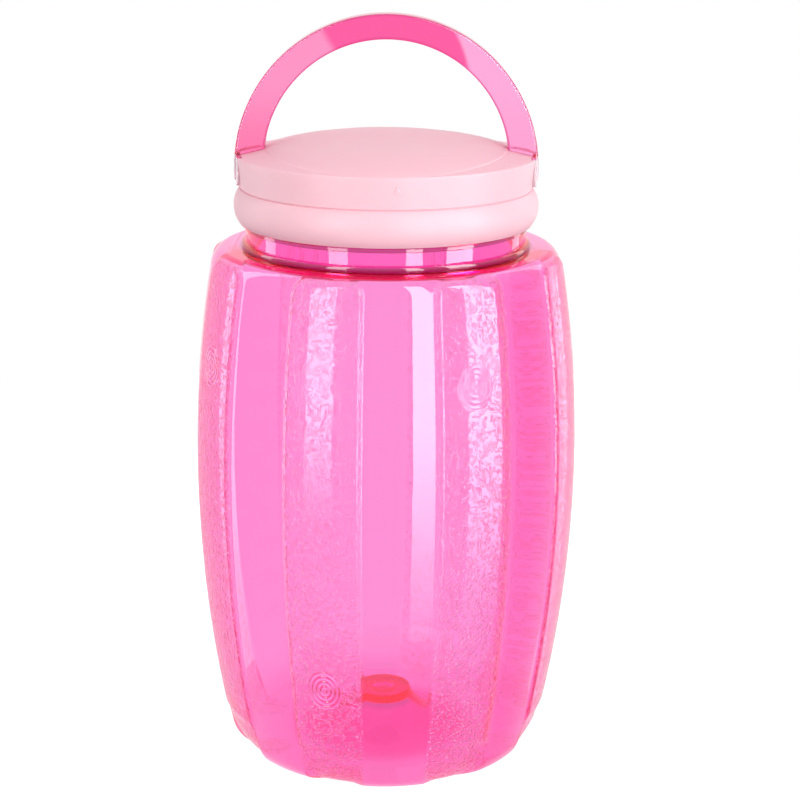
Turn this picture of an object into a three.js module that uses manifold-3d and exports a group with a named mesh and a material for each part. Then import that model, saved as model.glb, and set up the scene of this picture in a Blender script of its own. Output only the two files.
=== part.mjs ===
// Barrel-shaped storage jar with a double-wall screw lid and an arched carry handle.
// Millimetres, +Z up. The origin is the centre of the ring that the jar stands on.
// +X runs through the handle's right foot, and -Y is the jar's front.
// The jar is one blown shell: sixteen staves run from foot to shoulder, eight of them
// raised and eight plain, and a neck with a two-start thread stands on the shoulder.
// The lid is an outer cover with a screw cap snapped inside it, a soft ring under the
// cap's plate, and a handle whose feet plug into the cover's two sloping ledges.

import * as THREE from "three";
import { mergeVertices } from "three/addons/utils/BufferGeometryUtils.js";
import Module from "manifold-3d";

// Clearances
const smallGap = 0.3;
const threadGap = 0.4;
const edgeBreak = 0.4;

// Neck. Its bore drives every radius above and below it.
const neckBore = 51.8;
const neckWall = 2;
const threadRootRadius = neckBore + neckWall;
const lipWall = 1.4;
const mouthLipRadius = neckBore + lipWall;
const ridgeHeight = 1.5;
const collarRadius = threadRootRadius + ridgeHeight;
const flangeReach = 1.7;
const neckFlangeRadius = collarRadius + flangeReach;

// Jar's wall, from the shoulder down
const jarWall = 1.3;
const shoulderHeight = 208;
const shoulderCornerHeight = 12;
const shelfWidth = 5;
const shoulderFlatRadius = neckFlangeRadius + shelfWidth;
const shoulderCornerWidth = 6.2;
const wallRadiusAtShoulder = shoulderFlatRadius + shoulderCornerWidth;
const bellyBulge = 8.2;
const bellyRadius = wallRadiusAtShoulder + bellyBulge;
const bellyHeight_share = 0.577;
const bellyHeight = shoulderHeight * bellyHeight_share;
const footTaper = 14;
const wallRadiusAtFloor = bellyRadius - footTaper;

// Staves: raised ones and plain ones take turns, and each pair fills one pitch
const stavePairs = 8;
const staveRise = 1.1;
const staveTurn = THREE.MathUtils.degToRad(26.7);
const staveEdgeAngle = THREE.MathUtils.degToRad(1.6);
const footEdgeAngle = THREE.MathUtils.degToRad(13);
const staveFadeHeight = 5;

// Foot: a flat ring to stand on, and a raised bell in the middle of the floor
const plainFootCorner = 9;
const raisedFootCorner = 15;
const footCornerWidth = 6.4;
const plainFootRadius = wallRadiusAtFloor - footCornerWidth;
const raisedFootInset = 3.5;
const raisedFootRadius = plainFootRadius - raisedFootInset;
const bellHeight = 15;
const standingRingWidth = 9.5;
const bellFootRadius = raisedFootRadius - standingRingWidth;
const bellTop_share = 0.256;
const bellTopRadius = bellFootRadius * bellTop_share;
const bellFlarePower = 2.5;

// Neck's heights, one on the other
const flangeHeight = 1.2;
const neckFlangeTop = shoulderHeight + flangeHeight;
const flareHeight = 1.2;
const neckFlareTop = neckFlangeTop + flareHeight;
const collarHeight = 10.2;
const collarTop = shoulderHeight + collarHeight;
const threadHeight = 9.1;
const threadTop = collarTop + threadHeight;
const lipHeight = 6.2;
const mouthHeight = threadTop + lipHeight;

// Thread: two ridges on the neck, and two in the cap that hook under them
const threadStarts = 2;
const threadLead = 9;
const ridgeRootWidth = 2;
const ridgeCrestWidth = 1.1;
const ridgeBite = 0.4;
const ridgeRunIn = THREE.MathUtils.degToRad(18);
const ridgeStart = 1.7;
const neckRidgeBottom = collarTop + ridgeStart;
const neckRidgeSweep = THREE.MathUtils.degToRad(250);
const capRidgeStart = 1.2;
const capRidgeBottom = neckRidgeBottom + capRidgeStart;
const capRidgeSweep = THREE.MathUtils.degToRad(220);

// Soft ring between the jar's mouth and the cap's plate
const sealThickness = 1.9;
const sealReachIn = 1.8;
const sealInnerRadius = neckBore - sealReachIn;

// Cap inside the lid
const capWall = 1.5;
const capRootRadius = collarRadius + threadGap;
const lipGap = 0.6;
const capUpperBore = mouthLipRadius + lipGap;
const capSkirtBottom = neckRidgeBottom;
const capShoulderRise = 2.1;
const capShoulder = threadTop + capShoulderRise;
const capPlateBottom = mouthHeight + sealThickness + 2 * smallGap;
const capPlateThickness = 1.8;
const capPlateTop = capPlateBottom + capPlateThickness;

// Cover, fitted round the cap
const coverWall = 1.8;
const coverRollBore = capRootRadius + capWall + smallGap;
const coverBandBore = capUpperBore + capWall + smallGap;
const lidLipGap = 0.7;
const lidLipInnerRadius = collarRadius + lidLipGap;
const lidLipCurl = 0.1;
const lidLipOuterRadius = coverRollBore + lidLipCurl;
const lidLipHeight = 2;
const lidBottom = capSkirtBottom - smallGap - lidLipHeight;
const rollWall = 2.5;
const rollRadius = coverRollBore + rollWall;
const rollRise = 7;
const rollHeight = lidBottom + rollRise;
const grooveWall = 1.4;
const grooveRadius = coverBandBore + grooveWall;
const grooveRise = 2.2;
const grooveHeight = capShoulder + grooveRise;
const grooveWidth = 0.8;
const grooveDepth = 0.6;
const bandBottomRadius = grooveRadius + grooveDepth;
const bandFlare = 1.4;
const rimRadius = bandBottomRadius + bandFlare;
const headroom = 6;
const rimHeight = capPlateTop + headroom;
const rimRound = 0.5;

// Handle: two circles that aren't concentric make the arch thinner at its crown
const archProud = 0.1;
const archOuterRadius = rimRadius + archProud;
const archOuterDrop = 5.5;
const archOuterCentre = rimHeight - archOuterDrop;
const archWidth = 11.2;
const archInnerRadius = archOuterRadius - archWidth;
const archInnerDrop = 2.7;
const archInnerCentre = rimHeight - archInnerDrop;
const archDepth = 12;
const archEdgeRound = 2;
const archStart = THREE.MathUtils.degToRad(4);

// Dome and ledges on top of the cover
const domeToArch = 0.9;
const domeHalfWidth = archInnerRadius - domeToArch;
const domeToRim = 1.6;
const domeHalfDepth = rimRadius - domeToRim;
const domeRise = 6.3;
const domeRiseAtLedge = 3;
const domeStep = 0.5;
const domeRing_shares = [0.8, 0.55, 0.3];

// The handle's feet: a wide saddle plate outside, and a plug through each ledge
const saddleHalfWidth = 14;
const saddleThickness = 1.8;
const saddleRise = 1;
const saddleBottom = grooveHeight + saddleRise;
const saddleCorner = 5;
const plugInset = 2.4;
const plugInner = archInnerRadius + plugInset;
const plugToBand = 1;
const plugOuter = coverBandBore - plugToBand;
const plugHalfDepth = 3.7;
const plugGap = 0.5;
const plugBottom = capPlateTop + plugGap;
const catchReach = 0.9;
const catchHeight = 1.6;

// How finely round shapes are cut
const aroundSteps = 48;
const arcSteps = 7;
const archSteps = 30;
const cornerSteps = 3;
const bellSteps = 5;
const footSteps = 3;
const cutsAcrossStave = 3;
const overrun = 4;
const weld = 0.001;

const wasm = await Module();
wasm.setup();

const fullTurn = 2 * Math.PI;
const stavePitch = fullTurn / stavePairs;
const halfStave = stavePitch / 4;
const point = (x, y) => new THREE.Vector2(x, y);

// Radius of a circle's arc that falls by `drop` over `length`, with its tip at the start
const arcRadius = (length, drop) => (length * length + drop * drop) / (2 * drop);

// A closed mesh with shared corners becomes a solid that can be joined and cut
function solid(geometry) {
  geometry.deleteAttribute("normal");
  geometry.deleteAttribute("uv");
  const merged = mergeVertices(geometry, weld);
  const corners = merged.index.array;
  const kept = [];
  for (let i = 0; i < corners.length; i += 3) {
    const [a, b, c] = corners.slice(i, i + 3);
    if (a !== b && b !== c && c !== a) kept.push(a, b, c);
  }
  return new wasm.Manifold(new wasm.Mesh({
    numProp: 3,
    vertProperties: new Float32Array(merged.attributes.position.array),
    triVerts: new Uint32Array(kept),
  }));
}

function geometryOf(body) {
  const mesh = body.getMesh();
  const geometry = new THREE.BufferGeometry();
  geometry.setAttribute("position", new THREE.BufferAttribute(new Float32Array(mesh.vertProperties), 3));
  geometry.setIndex(new THREE.BufferAttribute(new Uint32Array(mesh.triVerts), 1));
  geometry.computeVertexNormals();
  return geometry;
}

// A profile of radius and height points, listed up the outside and down the inside
function revolved(profile) {
  const lathe = new THREE.LatheGeometry(profile, aroundSteps);
  return solid(lathe.rotateX(Math.PI / 2));
}

// A skin of rings. Each ring gives radius and height for an angle from the jar's front,
// and the first and last rings may be a single point on the axis.
function skinned(rings, angles) {
  const places = [];
  const faces = [];
  const count = angles.length;
  for (const ring of rings) {
    for (const angle of angles) {
      const [radius, height] = ring(angle);
      places.push(radius * Math.sin(angle), -radius * Math.cos(angle), height);
    }
  }
  for (let row = 0; row + 1 < rings.length; row += 1) {
    for (let column = 0; column < count; column += 1) {
      const next = (column + 1) % count;
      const a = row * count + column;
      const b = row * count + next;
      const c = (row + 1) * count + next;
      const d = (row + 1) * count + column;
      faces.push(a, b, c, a, c, d);
    }
  }
  const geometry = new THREE.BufferGeometry();
  geometry.setAttribute("position", new THREE.Float32BufferAttribute(places, 3));
  geometry.setIndex(faces);
  return solid(geometry);
}

// A tube of equal loops of points, closed by a fan at each end
function lofted(loops) {
  const places = loops.flat().flatMap((place) => place.toArray());
  const faces = [];
  const count = loops[0].length;
  for (let row = 0; row + 1 < loops.length; row += 1) {
    for (let column = 0; column < count; column += 1) {
      const next = (column + 1) % count;
      const a = row * count + column;
      const b = row * count + next;
      const c = (row + 1) * count + next;
      const d = (row + 1) * count + column;
      faces.push(a, b, c, a, c, d);
    }
  }
  const last = (loops.length - 1) * count;
  for (let column = 1; column + 1 < count; column += 1) {
    faces.push(0, column + 1, column);
    faces.push(last, last + column, last + column + 1);
  }
  const geometry = new THREE.BufferGeometry();
  geometry.setAttribute("position", new THREE.Float32BufferAttribute(places, 3));
  geometry.setIndex(faces);
  return solid(geometry);
}

function blockBetween(low, high) {
  const size = high.clone().sub(low);
  const middle = low.clone().add(high).multiplyScalar(0.5);
  const box = new THREE.BoxGeometry(size.x, size.y, size.z);
  return solid(box.translate(middle.x, middle.y, middle.z));
}

// The wall's line is two arcs that meet at the belly
function wallRadius(height) {
  const below = height < bellyHeight;
  const span = below ? bellyHeight : shoulderHeight - bellyHeight;
  const drop = bellyRadius - (below ? wallRadiusAtFloor : wallRadiusAtShoulder);
  const radius = arcRadius(span, drop);
  const away = height - bellyHeight;
  return bellyRadius - radius + Math.sqrt(radius * radius - away * away);
}

// 1 on a raised stave, 0 on a plain one, with a slope between them
function staveShare(angle, edgeAngle = staveEdgeAngle) {
  const turns = (angle - staveTurn) / stavePitch;
  const fromCentre = Math.abs(turns - Math.round(turns)) * stavePitch;
  const inside = (halfStave - fromCentre) / edgeAngle + 0.5;
  return THREE.MathUtils.clamp(inside, 0, 1);
}

// The cuts across one pitch lie on the staves' edges and evenly between them
function staveAngles() {
  const angles = [];
  const half = halfStave - staveEdgeAngle / 2;
  for (let pair = 0; pair < stavePairs; pair += 1) {
    for (const centre of [0, stavePitch / 2]) {
      for (let cut = 0; cut <= cutsAcrossStave; cut += 1) {
        const share = 2 * cut / cutsAcrossStave - 1;
        angles.push(staveTurn + pair * stavePitch + centre + share * half);
      }
    }
  }
  return angles;
}

// Round the foot's corner, where the turn goes from flat to upright, the staves' edges
// widen until the foot's outline is one soft wave
function footBlend(angle, turn, plain, raised) {
  const edgeAngle = THREE.MathUtils.lerp(footEdgeAngle, staveEdgeAngle, Math.sin(turn));
  return THREE.MathUtils.lerp(plain, raised, staveShare(angle, edgeAngle));
}

// A stave's rise grows out of the foot's corner and dies away on the shoulder's corner
function staveLift(angle, height) {
  const fromFoot = (height - raisedFootCorner) / staveFadeHeight;
  const fromTop = (shoulderHeight - height) / staveFadeHeight;
  const share = THREE.MathUtils.clamp(Math.min(fromFoot, fromTop), 0, 1);
  return staveRise * share * staveShare(angle);
}

// The shell's two faces follow the same lines, one wall apart
function jarShell() {
  const rings = [];
  const ring = (radius, height) => rings.push(() => [radius, height]);
  // The bell falls steeply under its flat top, and flares out towards the standing ring
  const bellLine = [];
  for (let step = 0; step <= bellSteps; step += 1) {
    const share = step / bellSteps;
    const radius = THREE.MathUtils.lerp(bellTopRadius, bellFootRadius, share ** bellFlarePower);
    bellLine.push([radius, bellHeight * (1 + Math.cos(Math.PI * share)) / 2]);
  }
  const wallHeights = [];
  const wallLow = raisedFootCorner + staveFadeHeight;
  const wallHigh = shoulderHeight - shoulderCornerHeight;
  for (let step = 0; step <= arcSteps; step += 1) {
    wallHeights.push(THREE.MathUtils.lerp(wallLow, wallHigh, step / arcSteps));
  }
  const cornerAngles = [];
  for (let step = 1; step <= footSteps; step += 1) {
    cornerAngles.push(Math.PI / 2 * step / footSteps);
  }
  const shoulderAngles = cornerAngles.slice(0, -1);

  // Foot's corner: from the standing ring round to the wall
  const footCorner = (turn, inset) => rings.push((angle) => {
    const corner = footBlend(angle, turn, plainFootCorner, raisedFootCorner);
    const flat = footBlend(angle, turn, plainFootRadius, raisedFootRadius);
    const height = corner * (1 - Math.cos(turn));
    const radius = flat + (wallRadius(height) - flat) * Math.sin(turn);
    return [radius - inset * Math.sin(turn), height + inset * Math.cos(turn)];
  });
  const wall = (height, inset) => rings.push((angle) => {
    return [wallRadius(height) + staveLift(angle, height) - inset, height];
  });
  const shoulderCorner = (turn, inset) => rings.push((angle) => {
    const height = shoulderHeight - shoulderCornerHeight * (1 - Math.cos(turn));
    const wallHere = wallRadius(height) + staveLift(angle, height);
    const radius = shoulderFlatRadius + (wallHere - shoulderFlatRadius) * Math.sin(turn);
    return [radius - inset * Math.sin(turn), height - inset * Math.cos(turn)];
  });

  // Outside, from the middle of the floor up to the mouth
  ring(0, bellHeight);
  bellLine.forEach(([radius, height]) => ring(radius, height));
  rings.push((angle) => [footBlend(angle, 0, plainFootRadius, raisedFootRadius), 0]);
  cornerAngles.forEach((turn) => footCorner(turn, 0));
  wallHeights.forEach((height) => wall(height, 0));
  shoulderAngles.slice().reverse().forEach((turn) => shoulderCorner(turn, 0));
  ring(shoulderFlatRadius, shoulderHeight);
  ring(neckFlangeRadius, shoulderHeight);
  ring(neckFlangeRadius, neckFlangeTop);
  ring(collarRadius, neckFlareTop);
  ring(collarRadius, collarTop);
  ring(threadRootRadius, collarTop + edgeBreak);
  ring(threadRootRadius, threadTop);
  ring(mouthLipRadius, threadTop + edgeBreak);
  ring(mouthLipRadius, mouthHeight - edgeBreak);
  ring(mouthLipRadius - edgeBreak, mouthHeight);

  // Inside, from the mouth back down to the middle of the floor
  ring(neckBore, mouthHeight);
  ring(neckBore, shoulderHeight);
  ring(shoulderFlatRadius, shoulderHeight - jarWall);
  shoulderAngles.forEach((turn) => shoulderCorner(turn, jarWall));
  wallHeights.slice().reverse().forEach((height) => wall(height, jarWall));
  cornerAngles.slice().reverse().forEach((turn) => footCorner(turn, jarWall));
  rings.push((angle) => [footBlend(angle, 0, plainFootRadius, raisedFootRadius), jarWall]);
  bellLine.slice().reverse().forEach(([radius, height]) => ring(radius, height + jarWall));
  ring(0, bellHeight + jarWall);
  return skinned(rings, staveAngles());
}

// A helical ridge: its section grows from the wall at `root` to its crest, and runs in
// and out over a short turn. A negative height makes a ridge that points inwards.
function helicalRidge({ root, height, bottom, startAngle, sweep }) {
  const loops = [];
  const steps = Math.ceil(sweep / (fullTurn / aroundSteps));
  const side = Math.sign(height);
  for (let step = 0; step <= steps; step += 1) {
    const turn = sweep * step / steps;
    const nearEnd = Math.min(turn, sweep - turn) / ridgeRunIn;
    const grown = THREE.MathUtils.clamp(nearEnd, ridgeBite / Math.abs(height), 1);
    const crest = root + height * grown;
    const middle = bottom + threadLead * turn / fullTurn;
    const crestHalf = ridgeCrestWidth * grown / 2;
    const rootHalf = ridgeRootWidth * grown / 2;
    const corners = [
      point(root - side * ridgeBite, middle - rootHalf),
      point(crest, middle - crestHalf),
      point(crest, middle + crestHalf),
      point(root - side * ridgeBite, middle + rootHalf),
    ];
    const angle = startAngle + turn;
    const loop = corners.map((corner) => new THREE.Vector3(
      corner.x * Math.cos(angle), corner.x * Math.sin(angle), corner.y));
    if (side > 0) loop.reverse();
    loops.push(loop);
  }
  return lofted(loops);
}

// Ridges at equal turns round the neck or the cap
function ridges(shape) {
  let body = null;
  for (let start = 0; start < threadStarts; start += 1) {
    const startAngle = shape.startAngle + fullTurn * start / threadStarts;
    const ridge = helicalRidge({ ...shape, startAngle });
    body = body ? body.add(ridge) : ridge;
  }
  return body;
}

function jarBody() {
  const thread = ridges({
    root: threadRootRadius,
    height: ridgeHeight,
    bottom: neckRidgeBottom,
    startAngle: 0,
    sweep: neckRidgeSweep,
  });
  return jarShell().add(thread);
}

// The cap's ridges lie half a pitch under the neck's, on the same helix
function screwCap() {
  const skirtRadius = capRootRadius + capWall;
  const upperRadius = capUpperBore + capWall;
  const profile = [
    point(capRootRadius, capSkirtBottom),
    point(skirtRadius, capSkirtBottom),
    point(skirtRadius, capShoulder),
    point(upperRadius, capShoulder),
    point(upperRadius, capPlateTop),
    point(0, capPlateTop),
    point(0, capPlateBottom),
    point(capUpperBore, capPlateBottom),
    point(capUpperBore, capShoulder - capWall),
    point(capRootRadius, capShoulder - capWall),
    point(capRootRadius, capSkirtBottom),
  ];
  const halfPitch = threadLead / threadStarts / 2;
  const climb = capRidgeBottom - neckRidgeBottom + halfPitch;
  const thread = ridges({
    root: capRootRadius,
    height: -ridgeHeight,
    bottom: capRidgeBottom,
    startAngle: fullTurn * climb / threadLead,
    sweep: capRidgeSweep,
  });
  return revolved(profile).add(thread);
}

// A flat ring that lies on the jar's mouth and under the cap's plate
function sealRing() {
  const bottom = mouthHeight + smallGap;
  const top = bottom + sealThickness;
  const outer = capUpperBore - smallGap;
  return revolved([
    point(sealInnerRadius, bottom),
    point(outer, bottom),
    point(outer, top),
    point(sealInnerRadius, top),
    point(sealInnerRadius, bottom),
  ]);
}

// The dome's edge is an ellipse, narrower across the handle's feet
function domeEdge(angle) {
  const across = Math.sin(angle) / domeHalfWidth;
  const along = Math.cos(angle) / domeHalfDepth;
  return 1 / Math.hypot(across, along);
}

// The dome falls faster towards the front than towards the ledges
function domeHeight(angle, radius) {
  const across = radius * Math.sin(angle) / domeHalfWidth;
  const along = radius * Math.cos(angle) / domeHalfDepth;
  const fall = (domeRise - domeRiseAtLedge) * across * across + domeRise * along * along;
  return rimHeight + domeRise - fall;
}

// The ledge slopes from the rim up to the dome's foot
function ledgeHeight(angle, radius) {
  const inner = domeEdge(angle);
  const outer = rimRadius - 2 * rimRound;
  const foot = domeHeight(angle, inner) - domeStep;
  const share = THREE.MathUtils.clamp((outer - radius) / (outer - inner), 0, 1);
  return rimHeight + (foot - rimHeight) * share;
}

function coverShell() {
  const rings = [];
  const ring = (radius, height) => rings.push(() => [radius, height]);
  const rollDrop = rollRadius - bandBottomRadius;
  const rollTop = grooveHeight - grooveWidth / 2;
  const topArc = arcRadius(rollTop - rollHeight, rollDrop);
  const lowArc = arcRadius(rollHeight - lidBottom, rollRadius - lidLipOuterRadius);

  // Lip and roll
  ring(lidLipInnerRadius, lidBottom);
  for (let step = 0; step <= arcSteps; step += 1) {
    const height = THREE.MathUtils.lerp(lidBottom, rollTop, step / arcSteps);
    const away = height - rollHeight;
    const arc = away < 0 ? lowArc : topArc;
    ring(rollRadius - arc + Math.sqrt(arc * arc - away * away), height);
  }
  // Groove, upper band and rim
  ring(grooveRadius, grooveHeight);
  ring(bandBottomRadius, grooveHeight + grooveWidth / 2);
  ring(rimRadius, rimHeight - rimRound);
  ring(rimRadius - rimRound / 2, rimHeight + rimRound / 2);
  ring(rimRadius - 3 * rimRound / 2, rimHeight + rimRound / 2);
  ring(rimRadius - 2 * rimRound, rimHeight);
  // Ledges and dome
  rings.push((angle) => {
    const foot = domeEdge(angle) + smallGap;
    return [foot, ledgeHeight(angle, foot)];
  });
  rings.push((angle) => [domeEdge(angle), domeHeight(angle, domeEdge(angle))]);
  domeRing_shares.forEach((share) => rings.push((angle) => {
    return [share * domeEdge(angle), domeHeight(angle, share * domeEdge(angle))];
  }));
  ring(0, rimHeight + domeRise);
  // Underside, one wall below
  ring(0, rimHeight + domeRise - coverWall);
  domeRing_shares.slice().reverse().forEach((share) => rings.push((angle) => {
    return [share * domeEdge(angle), domeHeight(angle, share * domeEdge(angle)) - coverWall];
  }));
  rings.push((angle) => {
    const foot = Math.min(domeEdge(angle), coverBandBore - smallGap);
    return [foot, ledgeHeight(angle, foot) - coverWall];
  });
  rings.push((angle) => [coverBandBore, ledgeHeight(angle, coverBandBore) - coverWall]);
  // Inside of the band, the shoulder over the cap, and the lip that holds the cap in
  ring(coverBandBore, capShoulder + smallGap);
  ring(coverRollBore, capShoulder + smallGap);
  ring(coverRollBore, lidBottom + lidLipHeight);
  ring(lidLipInnerRadius, lidBottom + lidLipHeight);
  ring(lidLipInnerRadius, lidBottom);
  const angles = Array.from({ length: aroundSteps }, (_, step) => fullTurn * step / aroundSteps);
  return skinned(rings, angles);
}

// A plate across the X axis with rounded lower corners, open upwards
function saddleOutline(halfWidth, bottom, corner) {
  const outline = new THREE.Shape();
  const top = rimHeight + overrun;
  outline.moveTo(-halfWidth, top);
  outline.lineTo(-halfWidth, bottom + corner);
  outline.absarc(-halfWidth + corner, bottom + corner, corner, Math.PI, 1.5 * Math.PI, false);
  outline.absarc(halfWidth - corner, bottom + corner, corner, 1.5 * Math.PI, 2 * Math.PI, false);
  outline.lineTo(halfWidth, top);
  return outline;
}

// The outline, drawn across Y and Z, pushed out along X on the side of the given sign
function saddleBlock(outline, side) {
  const block = new THREE.ExtrudeGeometry(outline, {
    depth: rimRadius,
    bevelEnabled: false,
    curveSegments: cornerSteps,
  });
  block.rotateX(Math.PI / 2).rotateZ(Math.PI / 2);
  if (side < 0) block.rotateZ(Math.PI);
  return solid(block);
}

// Everything outside a circle, from a height up
function outside(radius, bottom) {
  const reach = rimRadius + overrun;
  const top = rimHeight + 2 * overrun;
  return revolved([
    point(radius, bottom),
    point(reach, bottom),
    point(reach, top),
    point(radius, top),
    point(radius, bottom),
  ]);
}

function plugBlock(side, grow, bottom, top) {
  const near = side * (plugInner - grow);
  const far = side * (plugOuter + grow);
  const deep = plugHalfDepth + grow;
  return blockBetween(
    new THREE.Vector3(Math.min(near, far), -deep, bottom),
    new THREE.Vector3(Math.max(near, far), deep, top),
  );
}

function lidCover() {
  let cover = coverShell();
  const recessRadius = rimRadius - saddleThickness - smallGap;
  const recess = saddleOutline(saddleHalfWidth + smallGap, saddleBottom - smallGap, saddleCorner + smallGap);
  const room = outside(recessRadius, saddleBottom - overrun);
  for (const side of [-1, 1]) {
    cover = cover.subtract(saddleBlock(recess, side).intersect(room));
    cover = cover.subtract(plugBlock(side, smallGap, plugBottom, rimHeight + overrun));
  }
  return cover;
}

// One section of the arch: a rounded rectangle between the two circles
function archSection(turn) {
  const outer = new THREE.Vector3(
    archOuterRadius * Math.cos(turn), 0, archOuterCentre + archOuterRadius * Math.sin(turn));
  const inner = new THREE.Vector3(
    archInnerRadius * Math.cos(turn), 0, archInnerCentre + archInnerRadius * Math.sin(turn));
  const middle = outer.clone().add(inner).multiplyScalar(0.5);
  const outwards = outer.clone().sub(inner);
  const halfWidth = outwards.length() / 2;
  outwards.normalize();
  const loop = [];
  for (let corner = 0; corner < 4; corner += 1) {
    const across = corner === 0 || corner === 3 ? 1 : -1;
    const deep = corner < 2 ? 1 : -1;
    for (let step = 0; step <= cornerSteps; step += 1) {
      const angle = (corner + step / cornerSteps) * Math.PI / 2;
      const along = across * (halfWidth - archEdgeRound) + archEdgeRound * Math.cos(angle);
      const depth = deep * (archDepth / 2 - archEdgeRound) + archEdgeRound * Math.sin(angle);
      loop.push(middle.clone().addScaledVector(outwards, along).setY(depth));
    }
  }
  return loop;
}

// What the cover fills under the handle's feet, with the gap that the feet keep
function underTheFeet() {
  const recessRadius = rimRadius - saddleThickness;
  const bottom = plugBottom - overrun;
  const rings = [
    () => [0, bottom],
    () => [recessRadius, bottom],
    (angle) => [recessRadius, ledgeHeight(angle, recessRadius) + smallGap],
    (angle) => [domeEdge(angle), ledgeHeight(angle, domeEdge(angle)) + smallGap],
    () => [0, rimHeight + domeRise],
  ];
  const angles = Array.from({ length: aroundSteps }, (_, step) => fullTurn * step / aroundSteps);
  return skinned(rings, angles);
}

function carryHandle() {
  const loops = [];
  for (let step = 0; step <= archSteps; step += 1) {
    loops.push(archSection(THREE.MathUtils.lerp(-archStart, Math.PI + archStart, step / archSteps)));
  }
  let handle = lofted(loops).subtract(underTheFeet());
  const plate = saddleOutline(saddleHalfWidth, saddleBottom, saddleCorner);
  const room = outside(rimRadius - saddleThickness, saddleBottom - overrun);
  const rim = revolved([
    point(0, saddleBottom - overrun),
    point(rimRadius, saddleBottom - overrun),
    point(rimRadius, rimHeight),
    point(0, rimHeight),
  ]);
  for (const side of [-1, 1]) {
    handle = handle.add(saddleBlock(plate, side).intersect(room).intersect(rim));
    const top = ledgeHeight(Math.PI / 2, plugOuter) + smallGap + overrun / 2;
    handle = handle.add(plugBlock(side, 0, plugBottom + smallGap, top));
    const near = side * (plugInner - catchReach);
    const far = side * plugInner;
    const catchTop = ledgeHeight(Math.PI / 2, plugInner) - coverWall - smallGap;
    handle = handle.add(blockBetween(
      new THREE.Vector3(Math.min(near, far), -plugHalfDepth, catchTop - catchHeight),
      new THREE.Vector3(Math.max(near, far), plugHalfDepth, catchTop),
    ));
  }
  return handle;
}

const clearPink = new THREE.MeshStandardMaterial({
  color: 0xff4fa8,
  roughness: 0.08,
  metalness: 0,
  transparent: true,
  opacity: 0.6,
});
const palePink = new THREE.MeshStandardMaterial({ color: 0xf9c3cf, roughness: 0.25, metalness: 0 });
const softWhite = new THREE.MeshStandardMaterial({ color: 0xf2eeee, roughness: 0.6, metalness: 0 });
const handlePink = new THREE.MeshStandardMaterial({
  color: 0xff62ae,
  roughness: 0.1,
  metalness: 0,
  transparent: true,
  opacity: 0.75,
});

function piece(name, body, material) {
  const mesh = new THREE.Mesh(geometryOf(body), material);
  mesh.name = name;
  return mesh;
}

const lid = new THREE.Group();
lid.add(
  piece("lid_cover", lidCover(), palePink),
  piece("screw_cap", screwCap(), palePink),
  piece("carry_handle", carryHandle(), handlePink),
);

const jar = new THREE.Group();
jar.add(
  piece("jar_body", jarBody(), clearPink),
  piece("seal_ring", sealRing(), softWhite),
  lid,
);

export default jar;
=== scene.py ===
"""Looks of the barrel-shaped storage jar: clear pink shell, pale pink lid, clear arched handle."""

import math

import bmesh
import bpy
from mathutils import Matrix, Vector


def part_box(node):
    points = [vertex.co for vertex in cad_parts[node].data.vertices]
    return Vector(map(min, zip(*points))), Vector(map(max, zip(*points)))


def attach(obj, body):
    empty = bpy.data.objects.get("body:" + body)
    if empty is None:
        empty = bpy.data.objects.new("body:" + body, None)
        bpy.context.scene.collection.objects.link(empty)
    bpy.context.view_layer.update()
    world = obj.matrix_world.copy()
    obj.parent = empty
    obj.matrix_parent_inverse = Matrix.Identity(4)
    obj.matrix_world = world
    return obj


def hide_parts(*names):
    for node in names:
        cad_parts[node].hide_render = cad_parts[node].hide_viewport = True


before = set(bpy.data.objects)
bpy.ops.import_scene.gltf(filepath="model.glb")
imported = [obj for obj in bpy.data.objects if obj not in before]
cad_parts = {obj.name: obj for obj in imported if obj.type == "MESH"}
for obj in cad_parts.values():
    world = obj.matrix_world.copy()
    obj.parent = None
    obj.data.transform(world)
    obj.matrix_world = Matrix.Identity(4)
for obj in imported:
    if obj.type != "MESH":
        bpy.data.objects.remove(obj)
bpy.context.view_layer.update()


# Jar shell
# The real piece is one blow moulding of clear pink plastic, about 1.3 mm thick. Its wall
# has sixteen staves: eight stand proud and carry an embossed wood grain, and eight are
# plain. The neck, with its two-start thread, is blown in the same mould.

MM = 0.001
DEGREE = math.pi / 180

JAR_WALL = 1.3 * MM
FLOOR_WALL = 4.2 * MM
FLOOR_TINT = 0.85
FLOOR_TINT_FADE = 0.7
FOOT_TINT = 0.34
FOOT_TINT_TOP = 14 * MM
THICK_STAVE = 49.2 * DEGREE
THICK_STAVE_REACH = 24 * DEGREE
THICK_STAVE_EXTRA = 1.3 * MM
BELLY_RADIUS = 76.4 * MM
BELLY_HEIGHT = 120 * MM
WALL_RADIUS_AT_FLOOR = 62.4 * MM
WALL_RADIUS_AT_SHOULDER = 68.2 * MM
SHOULDER_HEIGHT = 208 * MM
SHOULDER_CORNER = 6 * MM
SHOULDER_FLAT_RADIUS = 64 * MM

STAVE_PAIRS = 8
STAVE_TURN = 26.7 * DEGREE
STAVE_RISE = 1.1 * MM
STAVE_EDGE = 3 * MM
SOFT_SEAM = 37.95 * DEGREE
SOFT_SEAM_REACH = 9 * DEGREE
SOFT_SEAM_WIDER = 2.2
FOOT_EDGE = 10.5 * MM
FOOT_NARROWING = 5.6 * MM
STAVE_CORNER = 5 * MM
STAVE_TOP = 2.2 * MM
STAVE_FADE = 5 * MM

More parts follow.
